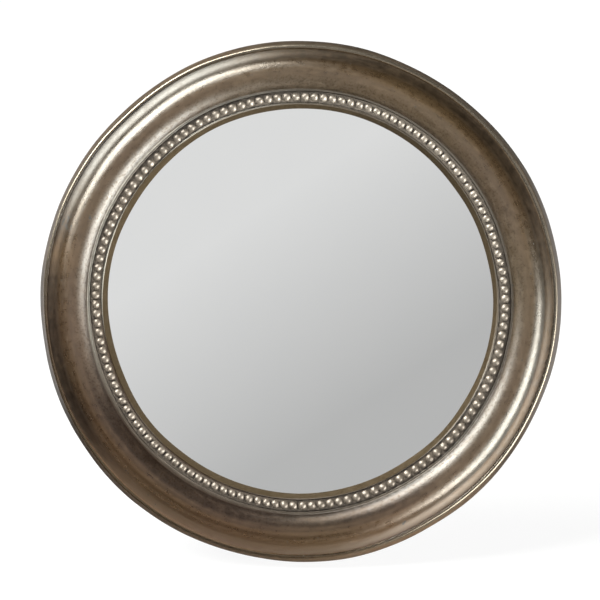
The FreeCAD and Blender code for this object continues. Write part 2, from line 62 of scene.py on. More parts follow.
def pick(piece):
    """Make one piece the only selected object, and the active one."""
    bpy.ops.object.select_all(action="DESELECT")
    piece.select_set(True)
    bpy.context.view_layer.objects.active = piece


def start(name, primitive, **settings):
    """Add a primitive with nothing else selected, and name it."""
    bpy.ops.object.select_all(action="DESELECT")
    primitive(**settings)
    bpy.context.object.name = name
    return bpy.context.object


def edit(piece):
    """Open a piece in edit mode with all of it selected."""
    pick(piece)
    bpy.ops.object.mode_set(mode="EDIT")
    bpy.ops.mesh.select_all(action="SELECT")


def done():
    """Back to object mode."""
    bpy.ops.object.mode_set(mode="OBJECT")


def settle():
    """Put the selected piece's place, turn and scale into its mesh."""
    bpy.ops.object.transform_apply(location=True, rotation=True, scale=True)


def spin_round(steps, angle):
    """Spin all of the mesh in edit mode about the z axis, merge its seams and turn its faces outwards."""
    bpy.ops.mesh.select_all(action="SELECT")
    bpy.ops.mesh.spin(steps=steps, angle=angle, center=(0, 0, 0), axis=(0, 0, 1))
    bpy.ops.mesh.select_all(action="SELECT")
    bpy.ops.mesh.remove_doubles(threshold=WELD)
    bpy.ops.mesh.normals_make_consistent(inside=False)
    done()


def select_where(piece, kind, test):
    """In edit mode, select only the verts, edges or faces that pass a test; return how many did."""
    bpy.ops.mesh.select_mode(type={"verts": "VERT", "edges": "EDGE", "faces": "FACE"}[kind])
    bpy.ops.mesh.select_all(action="DESELECT")
    mesh = bmesh.from_edit_mesh(piece.data)
    chosen = [part for part in getattr(mesh, kind) if test(part)]
    for part in chosen:
        part.select_set(True)
    bmesh.update_edit_mesh(piece.data)
    return len(chosen)


def apply_modifier(piece, name, kind, **settings):
    """Add a modifier with its settings and apply it at once."""
    pick(piece)
    modifier = piece.modifiers.new(name, kind)
    for setting, value in settings.items():
        setattr(modifier, setting, value)
    bpy.ops.object.modifier_apply(modifier=name)


def stand_up(piece):
    """Turn a piece that lies face up to the mirror's lean, and put its place into its mesh."""
    pick(piece)
    piece.rotation_euler = (math.pi / 2 - LEAN, 0, 0)
    piece.location = CENTRE
    settle()


def smooth(piece, degrees=35):
    """Smooth shading, with edges sharper than an angle left crisp."""
    pick(piece)
    bpy.ops.object.shade_smooth_by_angle(angle=math.radians(degrees))


def hand_over(piece, body, slot, *nodes):
    """Attach a piece to the body it rides on and hide the nodes it stands for; the slot argument is not used."""
    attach(piece, body)
    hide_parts(*nodes)
    print(piece.name, "-", len(piece.data.polygons), "faces")


# %% [markdown]
# ## The moulding
# The frame is one turned ring. Its section, from the sight edge outwards, has a sloping lip, a narrow fillet,
# the channel for the beads, a second fillet, a sharp quirk, the big half-round roll, a groove, a small rounded
# lip and a flared side. A section with tangent arcs is best drawn as a line: from one vertex, a straight run is
# extruded and an arc is spun about its centre. The corners get a small bevel and the fillets beside the beads a
# rounder one, because gesso and leaf never leave a razor edge, and the whole line is then spun once round the
# mirror's axis.

# %% The section's corners and the centres of its arcs, in millimetres
REBATE_R, REBATE_DEPTH = 116.5, 8
SIGHT_R, SIGHT_EDGE = 110.0, 9.2
INNER_FILLET = ((112.65, 13.6), (113.5, 13.6))
CHANNEL = ((113.5, 12.2), (120, 12.2))
OUTER_FILLET = ((120, 14.4), (121.3, 14.4))
ROLL_START = (121.7, 15.464)
ROLL = Vector((130.6, 0, 9.0))
GROOVE = Vector((146.687, 0, 22.499))
LIP = Vector((145.757, 0, 11.753))
REAR_R = 1.5
REAR = Vector((148.497, 0, REAR_R))
ROLL_END, GROOVE_END, SIDE = (math.radians(angle) for angle in (40, -102, 14.96))
print("section set, from", SIGHT_R, "to", round(REAR.x + REAR_R, 2), "mm")

# %% Draw the section as a line
SAME_PLACE = 0.01 * MM


def start_line(name, x, z):
    """A new piece in edit mode that is one vertex, where a line starts."""
    piece = start(name, bpy.ops.mesh.primitive_plane_add, size=MM)
    edit(piece)
    bpy.ops.mesh.merge(type="CENTER")
    pen = Vector((x, 0, z)) * MM
    bpy.ops.transform.translate(value=pen)
    return piece, pen


def run(x, z, pen):
    """Extrude the last vertex straight to a corner."""
    step = Vector((x, 0, z)) * MM - pen
    bpy.ops.mesh.extrude_region_move(TRANSFORM_OT_translate={"value": step})
    return pen + step


def sweep(centre, pen, end_angle, steps):
    """Spin the last vertex about an arc's centre until it reaches an angle."""
    spoke = pen - centre * MM
    angle = end_angle - math.atan2(spoke.z, spoke.x)
    bpy.ops.mesh.spin(steps=steps, angle=angle, center=centre * MM, axis=(0, 1, 0))
    return centre * MM + Vector((math.cos(end_angle), 0, math.sin(end_angle))) * spoke.length


moulding, pen = start_line("moulding", REBATE_R, 0)
for x, z in ((REBATE_R, REBATE_DEPTH), (SIGHT_R, REBATE_DEPTH), (SIGHT_R, SIGHT_EDGE),
             *INNER_FILLET, *CHANNEL, *OUTER_FILLET, ROLL_START):
    pen = run(x, z, pen)
pen = sweep(ROLL, pen, ROLL_END, steps=26)
pen = sweep(GROOVE, pen, GROOVE_END, steps=12)
pen = sweep(LIP, pen, SIDE, steps=16)
pen = run(REAR.x + REAR_R * math.cos(SIDE), REAR.z + REAR_R * math.sin(SIDE), pen)
pen = sweep(REAR, pen, -math.pi / 2, steps=8)
pen = run(REBATE_R, 0, pen)
bpy.ops.mesh.select_all(action="SELECT")
bpy.ops.mesh.remove_doubles(threshold=SAME_PLACE)
print("section drawn:", len(bmesh.from_edit_mesh(moulding.data).verts), "corners")

# %% Soften the corners of the section and spin it into a ring
ARRIS, FILLET_ROUND = 0.22 * MM, 0.40 * MM
SHARP_BEND = math.radians(20)
RING_STEPS = 288


def turns_sharply(vert):
    """True where the section's line bends sharply."""
    if len(vert.link_edges) != 2:
        return False
    first, second = (edge.other_vert(vert).co - vert.co for edge in vert.link_edges)
    return first.angle(-second) > SHARP_BEND


def on_fillet(vert):
    """True for the three outward corners of the two fillets beside the beads."""
    return any((vert.co - Vector((x, 0, z)) * MM).length < SAME_PLACE
               for x, z in (*INNER_FILLET, OUTER_FILLET[0]))


rounded = select_where(moulding, "verts", on_fillet)
bpy.ops.mesh.bevel(offset=FILLET_ROUND, offset_type="OFFSET", segments=6, affect="VERTICES")
sharp = select_where(moulding, "verts", turns_sharply)
bpy.ops.mesh.bevel(offset=ARRIS, offset_type="OFFSET", segments=3, affect="VERTICES")
spin_round(RING_STEPS, 2 * math.pi)
print("corners softened:", sharp + rounded, "- ring faces:", len(moulding.data.polygons))

# %% [markdown]
# The frame is hand-made, and its rings aren't true circles: the sight edge, the bead row and the roll all stray
# by about a millimetre. Two Displace modifiers with wide, soft cloud textures push the ring a little along X and
# Y, and a third makes the surface very slightly uneven, so that the long highlights waver. The same push is used
# on the beads later, because it depends on the place alone. A last resize keeps the ring inside its real size.

# %% The hand-made unevenness
DRIFT, DRIFT_SIZE = 2.6 * MM, 75 * MM
GESSO_DEPTH = 0.20 * MM
TRUE_REACH = 149.95 * MM


def cloud(name, size, basis="BLENDER_ORIGINAL"):
    """A soft cloud texture whose blobs are about this large."""
    texture = bpy.data.textures.new(name, "CLOUDS")
    texture.noise_scale = size
    texture.noise_basis = basis
    texture.noise_depth = 1
    return texture


drift_x = cloud("drift_x", DRIFT_SIZE)
drift_y = cloud("drift_y", DRIFT_SIZE, "ORIGINAL_PERLIN")
gesso = cloud("gesso", 20 * MM)


def make_by_hand(piece):
    """Let a lying piece stray a little from its true circle."""
    for axis, texture in (("X", drift_x), ("Y", drift_y)):
        apply_modifier(piece, f"drift_{axis}", "DISPLACE", texture=texture, texture_coords="LOCAL",
                       direction=axis, strength=DRIFT, mid_level=0.5)


make_by_hand(moulding)
apply_modifier(moulding, "gesso", "DISPLACE", texture=gesso, texture_coords="LOCAL",
               strength=GESSO_DEPTH, mid_level=1.0)
reach = max(max(abs(vert.co.x), abs(vert.co.y)) for vert in moulding.data.vertices)
SHRINK = min(1.0, TRUE_REACH / reach)
edit(moulding)
bpy.ops.transform.resize(value=(SHRINK, SHRINK, 1), center_override=(0, 0, 0))
done()
smooth(moulding, 50)
stand_up(moulding)
hand_over(moulding, "frame", "silver_leaf", "frame_moulding")
print("widest reach before the resize:", round(reach / MM, 2), "mm")

# %% [markdown]
# ## The bead rows
# Round beads fill the channel, about 140 of them. On a real frame they come as pressed strips, so each quarter
# is one strip. One bead is the upper half of a sphere, closed below and sunk a little into its strip, and the spin
# tool copies it along the quarter. The strip under it is a small rectangle that is spun through the same quarter.
# Pressing leaves no bead quite round, so a Displace modifier with a fine cloud texture dents them all a little.

# %% One bead, copied along a quarter strip
BEADS_PER_STRIP = 35
BEAD_R = 2.58 * MM
BEAD_ROW_R = 116.75 * MM
STRIP_TOP = 13.0 * MM
SUNK = 0.25 * MM
PITCH = math.radians(90 / BEADS_PER_STRIP)

bead_place = (BEAD_ROW_R * math.cos(PITCH / 2), BEAD_ROW_R * math.sin(PITCH / 2), STRIP_TOP)
bead_row = start("bead_row_1", bpy.ops.mesh.primitive_uv_sphere_add, segments=14, ring_count=8, radius=BEAD_R,
                 location=bead_place)
settle()
edit(bead_row)
bpy.ops.mesh.bisect(plane_co=(0, 0, STRIP_TOP - SUNK), plane_no=(0, 0, 1), clear_inner=True, use_fill=True)
done()
faces_per_bead = len(bead_row.data.polygons)
edit(bead_row)
bpy.ops.mesh.spin(steps=BEADS_PER_STRIP - 1, dupli=True, angle=PITCH - math.pi / 2,
                  center=(0, 0, 0), axis=(0, 0, 1))
done()
print("beads on one strip:", len(bead_row.data.polygons) // faces_per_bead)

# %% The strip that carries the beads
STRIP_IN, STRIP_OUT, CHANNEL_FLOOR = 113.65 * MM, 119.85 * MM, 12.2 * MM
JOINT = 0.15 * MM / BEAD_ROW_R  # the gap between two strips, as an angle

strip = start("strip", bpy.ops.mesh.primitive_plane_add, size=1, rotation=(math.pi / 2, 0, 0))
strip.scale = (STRIP_OUT - STRIP_IN, STRIP_TOP - CHANNEL_FLOOR, 1)
strip.location = ((STRIP_IN + STRIP_OUT) / 2, 0, (CHANNEL_FLOOR + STRIP_TOP) / 2)
settle()
edit(strip)
spin_round(2 * BEADS_PER_STRIP, JOINT - math.pi / 2)
pick(bead_row)
strip.select_set(True)
bpy.ops.object.join()
smooth(bead_row, 60)
print("strip with its beads:", len(bead_row.data.polygons), "faces")

# %% Four strips make the row
PRESSED_DEPTH = 0.80 * MM
pressed = cloud("pressed", 3 * MM)
bead_rows = [bead_row]
for quarter in range(1, 4):
    pick(bead_row)
    bpy.ops.object.duplicate(linked=False)
    copy = bpy.context.object
    copy.name = f"bead_row_{quarter + 1}"
    copy.rotation_euler = (0, 0, quarter * math.pi / 2)
    settle()
    bead_rows.append(copy)
for number, row in enumerate(bead_rows, start=1):
    make_by_hand(row)
    apply_modifier(row, "pressed", "DISPLACE", texture=pressed, texture_coords="LOCAL",
                   strength=PRESSED_DEPTH, mid_level=0.62)
    row.scale = (SHRINK, SHRINK, 1)
    stand_up(row)
    hand_over(row, "frame", "silver_leaf", f"bead_strip_{number}")

# %% [markdown]
# ## The back: board, strut and small plates
# The solids already have the true outlines of the board, the easel strut, the hinge and the small plates. What
# they lack is the soft edge that a sawn, cut or stamped piece has, and that catches the light. So each mesh is
# copied, its loose triangles are merged, flat areas become whole faces, and a Bevel modifier rounds the edges.
# A Weighted Normal modifier then lets the large faces stay flat to the light, with only the edges rounded.

# %% Copies with softened edges
TRIANGLE_WELD = 0.002 * MM
FLAT, EDGE = math.radians(0.5), math.radians(40)


def soften(node, name, arris, body, slot):
    """A copy of a solid with its edges rounded by this many millimetres."""
    piece = bpy.data.objects.new(name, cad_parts[node].data.copy())
    bpy.context.scene.collection.objects.link(piece)
    edit(piece)
    bpy.ops.mesh.remove_doubles(threshold=TRIANGLE_WELD)
    bpy.ops.mesh.dissolve_limited(angle_limit=FLAT)
    done()
    apply_modifier(piece, "arris", "BEVEL", width=arris * MM, segments=2, limit_method="ANGLE",
                   angle_limit=EDGE)
    smooth(piece)
    apply_modifier(piece, "even_light", "WEIGHTED_NORMAL", mode="FACE_AREA", weight=50, keep_sharp=True)
    hand_over(piece, body, slot, node)
    return piece


board = soften("backboard", "board", 0.3, "frame", "black_board")
leg = soften("strut", "easel_leg", 0.4, "leg", "black_board")
fixed_leaf = soften("hinge_fixed_leaf", "hinge_leaf_on_board", 0.15, "frame", "nickel_hinge")
swing_leaf = soften("hinge_strut_leaf", "hinge_leaf_on_leg", 0.15, "leg", "nickel_hinge")
pin = soften("hinge_pin", "pin", 0.2, "frame", "nickel_hinge")
tabs = [soften(f"turn_button_{n}", f"tab_{n}", 0.25, f"button_{n}", "brass_plate") for n in range(1, 5)]
hanger = soften("hanger_plate", "hanger", 0.25, "frame", "brass_plate")

# %% [markdown]
# ## Rivets and screws
# Both are turned: a profile is drawn from the top of the head to the tip and spun once. The screw gets its cross
# recess from two slots, cut with Boolean modifiers, and the slivers that a cut leaves are dissolved. Each is
# modelled once and copied to its places.

# %% One rivet and one screw
HEAD_STEPS = 24
SCREW_CROWN = 1.7
SLOT_SIZE = (3.6 * MM, 0.8 * MM, 1.6 * MM)


def turned(name, head_radius, crown, rim, shank_radius, length):
    """A domed head over a shank: the head points to -z, and its seat is at z = 0."""
    piece, pen = start_line(name, 0, -crown)
    dome = (head_radius ** 2 + (crown - rim) ** 2) / (2 * (crown - rim))
    middle = Vector((0, 0, dome - crown))
    pen = sweep(middle, pen, math.atan2(-rim - middle.z, head_radius), steps=6)
    for x, z in ((head_radius, 0), (shank_radius, 0), (shank_radius, length - shank_radius), (0, length)):
        pen = run(x, z, pen)
    spin_round(HEAD_STEPS, 2 * math.pi)
    return piece


rivet = turned("rivet", head_radius=2.6, crown=1.1, rim=0.25, shank_radius=1.4, length=4.5)
screw = turned("screw", head_radius=3.2, crown=SCREW_CROWN, rim=0.6, shank_radius=1.5, length=11.0)
for turn in (0, math.pi / 2):
    slot_cutter = start("slot_cutter", bpy.ops.mesh.primitive_cube_add, size=1,
                        location=(0, 0, -SCREW_CROWN * MM), rotation=(0, 0, turn))
    slot_cutter.scale = SLOT_SIZE
    settle()
    apply_modifier(screw, "slot", "BOOLEAN", operation="DIFFERENCE", object=slot_cutter, solver="EXACT")
    bpy.data.objects.remove(slot_cutter)
edit(screw)
bpy.ops.mesh.dissolve_degenerate(threshold=SAME_PLACE)
done()
for piece in (rivet, screw):
    smooth(piece, 40)
print("rivet:", len(rivet.data.polygons), "faces - screw:", len(screw.data.polygons), "faces")

# %% Copies at their places


def copies(model, name, places, depth):
    """Copies of a rivet or screw at (x, y) places in millimetres, joined as one piece."""
    made = []
    for x, y in places:
        pick(model)
        bpy.ops.object.duplicate(linked=False)
        copy = bpy.context.object
        copy.location = Vector((x, y, depth)) * MM
        settle()
        made.append(copy)
    for copy in made:
        copy.select_set(True)
    bpy.ops.object.join()
    bpy.context.object.name = name
    return bpy.context.object


HINGE_Y, HINGE_DEPTH, HINGE_OPEN = 65.0, -2.95, math.radians(27)
RIVET_X, BOARD_RIVETS_Y, LEG_RIVETS_Y = 10.5, (8.05, 16.5), (-8.05, -24.5)
TAB_ROW_R, HANGER_X, HANGER_Y = 124, 17.5, 132.498

board_places = [(x, HINGE_Y + y) for x in (-RIVET_X, RIVET_X) for y in BOARD_RIVETS_Y]
leg_places = [(x, y) for x in (-RIVET_X, RIVET_X) for y in LEG_RIVETS_Y]
tab_x = TAB_ROW_R * math.sin(math.pi / 4)
tab_places = [(x * tab_x, y * tab_x) for x in (-1, 1) for y in (-1, 1)]
board_rivets = copies(rivet, "rivets_on_board", board_places, depth=-1.0)
leg_rivets = copies(rivet, "rivets_on_leg", leg_places, depth=-2.05)
pick(leg_rivets)
leg_rivets.rotation_euler = (HINGE_OPEN, 0, 0)
leg_rivets.location = Vector((0, HINGE_Y, HINGE_DEPTH)) * MM
settle()
tab_screws = copies(screw, "screws_in_tabs", tab_places, depth=-1.7)
hanger_screws = copies(screw, "screws_in_hanger", [(-HANGER_X, HANGER_Y), (HANGER_X, HANGER_Y)], depth=-1.5)
for piece, body, slot, node in ((board_rivets, "frame", "nickel_hinge", "hinge_rivets"),
                                (leg_rivets, "leg", "nickel_hinge", "strut_rivets"),
                                (tab_screws, "frame", "brass_plate", "turn_button_screws"),
                                (hanger_screws, "frame", "brass_plate", "hanger_screws")):
    stand_up(piece)
    hand_over(piece, body, slot, node)
bpy.data.objects.remove(rivet)
bpy.data.objects.remove(screw)

# %% [markdown]
# ## A small language for finishes
# A finish is a network of nodes. To keep the sums readable, one small class wraps a node's output, so that
# `1 - mask` or `mask * 0.3` adds the Math nodes by itself, and its `add` method makes any other node.

# %% The wire class


class Wire:
    """The output of a node. Sums on wires add Math nodes, and add() makes any other node beside them."""

    def __init__(self, socket):
        self.socket = socket
        self.tree = socket.id_data

    def add(self, kind, settings=None, sockets=None, out=0):
        """A node of a type: settings are set first, then each socket gets a value or a link."""
        node = self.tree.nodes.new("ShaderNode" + kind)
        for name, value in (settings or {}).items():
            if name == "stops":
                ramp = node.color_ramp  # it has two stops from the start
                for place, _ in value[2:]:
                    ramp.elements.new(place)
                for stop, (place, shade) in zip(ramp.elements, sorted(value)):
                    stop.position = place
                    stop.color = (shade, shade, shade, 1)
            else:
                setattr(node, name, value)
        for name, value in (sockets or {}).items():
            connect(value, node.inputs[name])
        return Wire(node.outputs[out])

    def maths(self, operation, *values, clamp=False):
        """A Math node over wires or numbers."""
        return self.add("Math", {"operation": operation, "use_clamp": clamp}, dict(enumerate(values)))

    def __add__(self, other):
        return self.maths("ADD", self, other)

    def __sub__(self, other):
        return self.maths("SUBTRACT", self, other)

    def __rsub__(self, other):
        return self.maths("SUBTRACT", other, self)

    def __mul__(self, other):
        return self.maths("MULTIPLY", self, other)

    def __truediv__(self, other):
        return self.maths("DIVIDE", self, other)

    def __pow__(self, other):
        return self.maths("POWER", self, other)

    def __lt__(self, other):
        return self.maths("LESS_THAN", self, other)

    def __gt__(self, other):
        return self.maths("GREATER_THAN", self, other)

    __radd__ = __add__
    __rmul__ = __mul__

    def clamp(self):
        """The value held between 0 and 1."""
        return self.maths("ADD", self, 0, clamp=True)

    def ramp(self, *stops):
        """A value read off a curve of (place, height) stops."""
        return self.add("ValToRGB", {"stops": stops}, {0: self})

    def noise(self, scale, detail=2.0, roughness=0.5):
        """Soft noise at this place, about 0.5 on average."""
        return self.add("TexNoise", None,
                        {"Vector": self, "Scale": scale, "Detail": detail, "Roughness": roughness})


def connect(value, socket):
    """Link a wire to a socket, or set the socket's own value."""
    if isinstance(value, Wire):
        value.tree.links.new(value.socket, socket)
    else:
        socket.default_value = value


def tint(factor, low, high):
    """A colour between two others."""
    return factor.add("Mix", {"data_type": "RGBA"}, {0: factor, 6: low, 7: high}, out=2)


def rgb(red, green, blue):
    """A colour as a socket takes it, with full alpha."""
    return (red, green, blue, 1.0)


def new_finish(name):
    """A new material, its shader, and the place on the object as a wire."""
    material = bpy.data.materials.new(name)
    material.use_nodes = True
    tree = material.node_tree
    place = Wire(tree.nodes.new("ShaderNodeTexCoord").outputs["Object"])
    return material, tree.nodes["Principled BSDF"], place


def lie_down(place):
    """The place on a standing piece, turned back to the lying mirror with its centre at the origin."""
    return place.add("Mapping", {"vector_type": "TEXTURE"},
                     {"Vector": place, "Location": CENTRE, "Rotation": (math.pi / 2 - LEAN, 0, 0)})


def emboss(shader, relief, strength, depth):
    """Raise a relief as a bump, this many millimetres deep."""
    bump = relief.add("Bump", None, {"Strength": strength, "Distance": depth * MM, "Height": relief})
    connect(bump, shader.inputs["Normal"])


def put_on(material, *pieces):
    """Give each piece this one finish."""
    for piece in pieces:
        piece.data.materials.clear()
        piece.data.materials.append(material)
    print(material.name, "on", ", ".join(piece.name for piece in pieces))


# %% [markdown]
# ## Silver leaf with an umber glaze
# The frame is gilded with silver-coloured leaf and toned with an umber glaze. The eye sees two things at once:
# white highlights from the lacquer, and the brown of the glaze where no lamp is mirrored. So the shader's colour
# is the glaze, an IOR a little above that of paint gives the lacquer its shine, and a share of Metallic lets the
# leaf show through: little on the roll, more in the cove, on the beads, on the fillets and on the outer lip. The
# glaze is thin on the fillets and the beads, thick in the quirk, in the cove and on the side. All zones of the
# section are rings, so the distance from the mirror's axis tells where a point is. A Mapping node turns the
# place on the standing object back to the lying mirror, and ramps over the radius give each zone its glaze and
# its roughness.

# %% Zones of the section, ring by ring
RAMP_START, RAMP_LENGTH = 108, 44
BEAD_BASE, FILLET_BASE, BACK_TOP = 13.1, 13.2, 0.25

silver_leaf, leaf_shader, place = new_finish("silver_leaf")
lying = lie_down(place)
split = lying.add("SeparateXYZ", None, {0: lying})
across, up = split / MM, Wire(split.socket.node.outputs[1]) / MM
height = Wire(split.socket.node.outputs[2]) / MM
radius = (across * across + up * up) ** 0.5


def ring(at):
    """Where a radius in millimetres lies on the ramps."""
    return (at - RAMP_START) / RAMP_LENGTH


def by_radius(*stops):
    """A value for each zone, from stops of a radius in millimetres and a height."""
    return ring(radius).ramp(*((ring(at), level) for at, level in stops))


def band(inner, rise, outer, fall):
    """1 between two radii, with a slope for the way in and one for the way out."""
    return ((radius - inner) * rise).clamp() * ((outer - radius) * fall).clamp()


def between(inner, outer):
    """1 between two radii, with sharp edges."""
    return (radius > inner) * (radius < outer)


thin_by_zone = by_radius(
    (112.2, 0.10), (112.8, 0.80), (113.5, 0.80), (114.2, 0.85), (119.6, 0.85), (120.2, 0.80), (121.1, 0.65),
    (121.6, 0.15), (123.5, 0.60), (127.5, 0.58), (131.0, 0.44), (136.0, 0.62), (138.8, 0.24), (143.6, 0.18),
    (144.6, 0.60), (146.8, 0.50), (147.6, 0.10))
rough_by_zone = by_radius(
    (112.4, 0.85), (113.0, 0.30), (114.2, 0.44), (119.4, 0.44), (121.6, 0.40), (127.0, 0.38), (131.0, 0.32),
    (137.5, 0.29), (139.5, 0.43), (144.0, 0.45), (145.0, 0.17), (147.5, 0.45))
on_sight_lip = radius < 112.5
on_bead = (height - BEAD_BASE).clamp() * between(113.7, 119.8)
in_channel = between(113.6, 119.9) * (1 - on_bead)
on_fillets = (height > FILLET_BASE) * (between(112.5, 113.6) + between(119.7, 121.3))
flank = band(121.4, 2, 129.5, 0.5)
crest = band(127.5, 0.5, 136, 0.5)
shoulder = band(133, 0.5, 140.0, 1)
outside = ((radius - 131) * 0.25).clamp()
cove = band(139.0, 1, 144.6, 3)
outer_lip = band(144.7, 3, 147.0, 3)
back = (height < BACK_TOP) * (radius > 116)
print("zones set, with", len(silver_leaf.node_tree.nodes), "nodes")

# %% [markdown]
# The glaze is cloudy in wide patches, mottled in small ones and streaked along the ring by the wiping cloth.
# Under it the gesso is sandy, which breaks up the edges of the highlights. Sparse pits show the dark ground, with
# a few bruises where the frame was knocked. Some masks follow the way round the ring: each is 1 in one direction
# from the mirror's centre and fades to both sides. Most of them paint light and shade into the leaf: painted light
# where a soft box is mirrored, painted bounce light from the floor on the outer zones at the bottom, and painted
# shade towards the bottom and the lower left. One also makes the glaze lighter and redder towards the upper right.

# %% Clouds, pits, wear and painted light and shade
STREAKS_ROUND, STREAKS_ACROSS = 14, 0.9

patches = lying.noise(26, 2.0)
hue = lying.noise(14, 1.0)
blotches = lying.noise(260, 3.0, 0.6)
grain = lying.noise(1700, 2.0, 0.6)
sand = lying.noise(850, 3.0, 0.65)
along = lying.add("CombineXYZ", None, {0: across / radius * STREAKS_ROUND, 1: up / radius * STREAKS_ROUND,
                                       2: radius * STREAKS_ACROSS})
streaks = along.noise(1.0, 3.0, 0.6)


def near(x, y, reach):
    """1 at a place on the ring, in millimetres from its centre, fading to 0 at a reach."""
    off_x, off_y = across - x, up - y
    return (1 - (off_x * off_x + off_y * off_y) ** 0.5 / reach).clamp()


def specks(scale):
    """The distance to scattered points, this many to a metre."""
    return lying.add("TexVoronoi", {"feature": "F1"}, {"Vector": lying, "Scale": scale, "Randomness": 1.0})


bruises = near(-133, 44, 7) + near(-119, 46, 3) + near(-99, -98, 4) + near(60, -126, 4)
pits = ((specks(130.0) < 0.05) * (patches > 0.56) + (specks(480.0) < bruises * 0.55)).clamp()
scuff = near(-137, 26, 15)


def round_ring(x, y):
    """1 in this direction from the mirror's centre, -1 in the opposite one."""
    return (across * x + up * y) / radius


def towards(x, y, least, slope):
    """A mask that is 1 in this direction and 0 where the ring has turned away from it."""
    return ((round_ring(x, y) - least) * slope).clamp()


# Lighter, redder glaze towards the upper right, and painted shade on the beads and channel towards the lower left.
wipe_and_painted_shade = round_ring(0.45, 0.89)
# Painted bounce light from the floor: lighter glaze and less metal on the outer zones at the bottom.
painted_bounce_below = towards(-0.09, -1, 0.55, 3)
# Painted light towards the upper left, where the left soft box is mirrored: lighter glaze outside and less metal in
# the cove.
painted_light_left = towards(-0.64, 0.77, 0.8, 6)
# Painted highlight on the fillets towards the upper left, where they catch the right soft box.
painted_glint_left = towards(-0.87, 0.5, 0.5, 3)
# Painted light towards the lower right, where the right soft box is mirrored.
painted_light_right = towards(0.92, -0.39, 0.7, 4)
# Painted shade towards the bottom, away from both soft boxes.
painted_shade_below = towards(-0.34, -0.94, 0.5, 3)
# Painted shade towards the lower left.
painted_shade_lower_left = towards(-0.57, -0.82, 0.35, 3)
flecks = ((sand - 0.50) * 6).clamp() * (0.2 + flank * 0.8) * (1 - painted_shade_below * 0.6)
print("wear set, with", len(silver_leaf.node_tree.nodes), "nodes")

# %% [markdown]
# The colour is built up as on the bench: the glaze first, thick or thin, then the barer leaf of each zone, then
# flecks and pits, and last the brown paint on the back of the ring. Painted light and shade go in with these
# layers: a neutral grey where a soft box is mirrored, a lighter fillet towards the upper left, and painted shade
# on the lip, the beads and the fillets towards the bottom. Metallic and roughness follow the same masks, and a fine
# Bump carries the grain, so that the shape itself stays in the mesh.

# %% The leaf's colour
# The glaze is thinner where a soft box or the floor is mirrored, as painted light, and thicker lower down on the
# roll, as painted shade.
thin = (thin_by_zone + wipe_and_painted_shade * 0.07 + painted_bounce_below * outside * 1.1 + painted_light_left * outside * 0.3 + scuff * 0.7
        - painted_shade_below * (0.42 - outside * 0.42 - crest * 0.5) + (patches - 0.5) * 0.5 + (blotches - 0.5) * 0.8
        + (grain - 0.5) * 0.5 + (streaks - 0.5) * 0.5).clamp()
reddish = (hue + wipe_and_painted_shade * 0.3).clamp()
thick_glaze = tint(reddish, rgb(0.017, 0.0080, 0.0038), rgb(0.013, 0.0080, 0.0028))
thin_glaze = tint(reddish, rgb(0.057, 0.0305, 0.0150), rgb(0.051, 0.0315, 0.0138))
# Painted light: where a soft box is mirrored on the shoulder and cove, the colour goes to a neutral dark grey, so
# the mirrored highlights come out white.
painted_lit_grey = ((shoulder + cove) * painted_light_left + shoulder * painted_light_right).clamp()
# Painted shade: the beads and the channel darker towards the lower left.
bead_painted_shade = 0.8 + wipe_and_painted_shade * 0.2
# Painted shade: the outer lip darker and browner towards the lower left.
lip_colour_painted_shade = tint(painted_shade_lower_left, rgb(0.130, 0.108, 0.084), rgb(0.076, 0.052, 0.032))
# Painted highlight: the fillets lighter towards the upper left.
fillet_colour_painted_glint = tint(painted_glint_left, rgb(0.062, 0.050, 0.039), rgb(0.140, 0.126, 0.108))
paint = tint((streaks * 1.2 + blotches * 0.8 - 0.5).clamp(), rgb(0.014, 0.011, 0.009), rgb(0.056, 0.044, 0.034))
leaf_colour = tint(thin, thick_glaze, thin_glaze)
# The grey mix, the shade on beads and channel, the lip's shade and the fillets' highlight and shade below are
# painted light and shade.
for mask, colour in ((painted_lit_grey * 0.6, rgb(0.029, 0.026, 0.021)),
                     (in_channel * bead_painted_shade, rgb(0.119, 0.098, 0.079)),
                     (on_bead * bead_painted_shade, rgb(0.160, 0.134, 0.112)),
                     (outer_lip, lip_colour_painted_shade),
                     (on_fillets * (1 - painted_shade_below * 0.5), fillet_colour_painted_glint),
                     (on_sight_lip, rgb(0.045, 0.030, 0.015)),
                     (flecks * 0.3, thick_glaze),
                     (pits, rgb(0.005, 0.0035, 0.002)),
                     (back, paint)):
    leaf_colour = tint(mask, leaf_colour, colour)
connect(leaf_colour, leaf_shader.inputs["Base Color"])
print("colour set, with", len(silver_leaf.node_tree.nodes), "nodes")

# %% The leaf's metal, roughness and grain
# Metal rises on the flank and crest towards the bottom, where the dark glaze makes painted shade, and falls in the
# cove where a soft box or the floor is mirrored, as painted light.
metal = (0.12 + flank * (0.06 + painted_shade_below * 0.48) + crest * painted_shade_below * 0.35 + shoulder * 0.36
         + cove * (0.62 - painted_light_left * 0.35 - painted_bounce_below * 0.4)
         + on_bead * 0.43 + in_channel * 0.30 + on_fillets * 0.40 + outer_lip * 0.68 + on_sight_lip * 0.78
         + flecks * 0.45).clamp()
connect(metal * (1 - pits) * (1 - back), leaf_shader.inputs["Metallic"])
connect((rough_by_zone + (grain - 0.5) * 0.12 + (blotches - 0.5) * 0.25 + (streaks - 0.5) * 0.2 + flecks * 0.08
         + back * 0.3 + pits * 0.4).clamp(),
        leaf_shader.inputs["Roughness"])
leaf_shader.inputs["IOR"].default_value = 1.70
relief = grain * 0.6 + sand + blotches * 0.6 + patches * 0.6 + streaks * 0.3 - pits * 0.6
emboss(leaf_shader, relief, strength=0.18, depth=0.25)
put_on(silver_leaf, moulding, *bead_rows)
print("silver leaf:", len(silver_leaf.node_tree.nodes), "nodes")

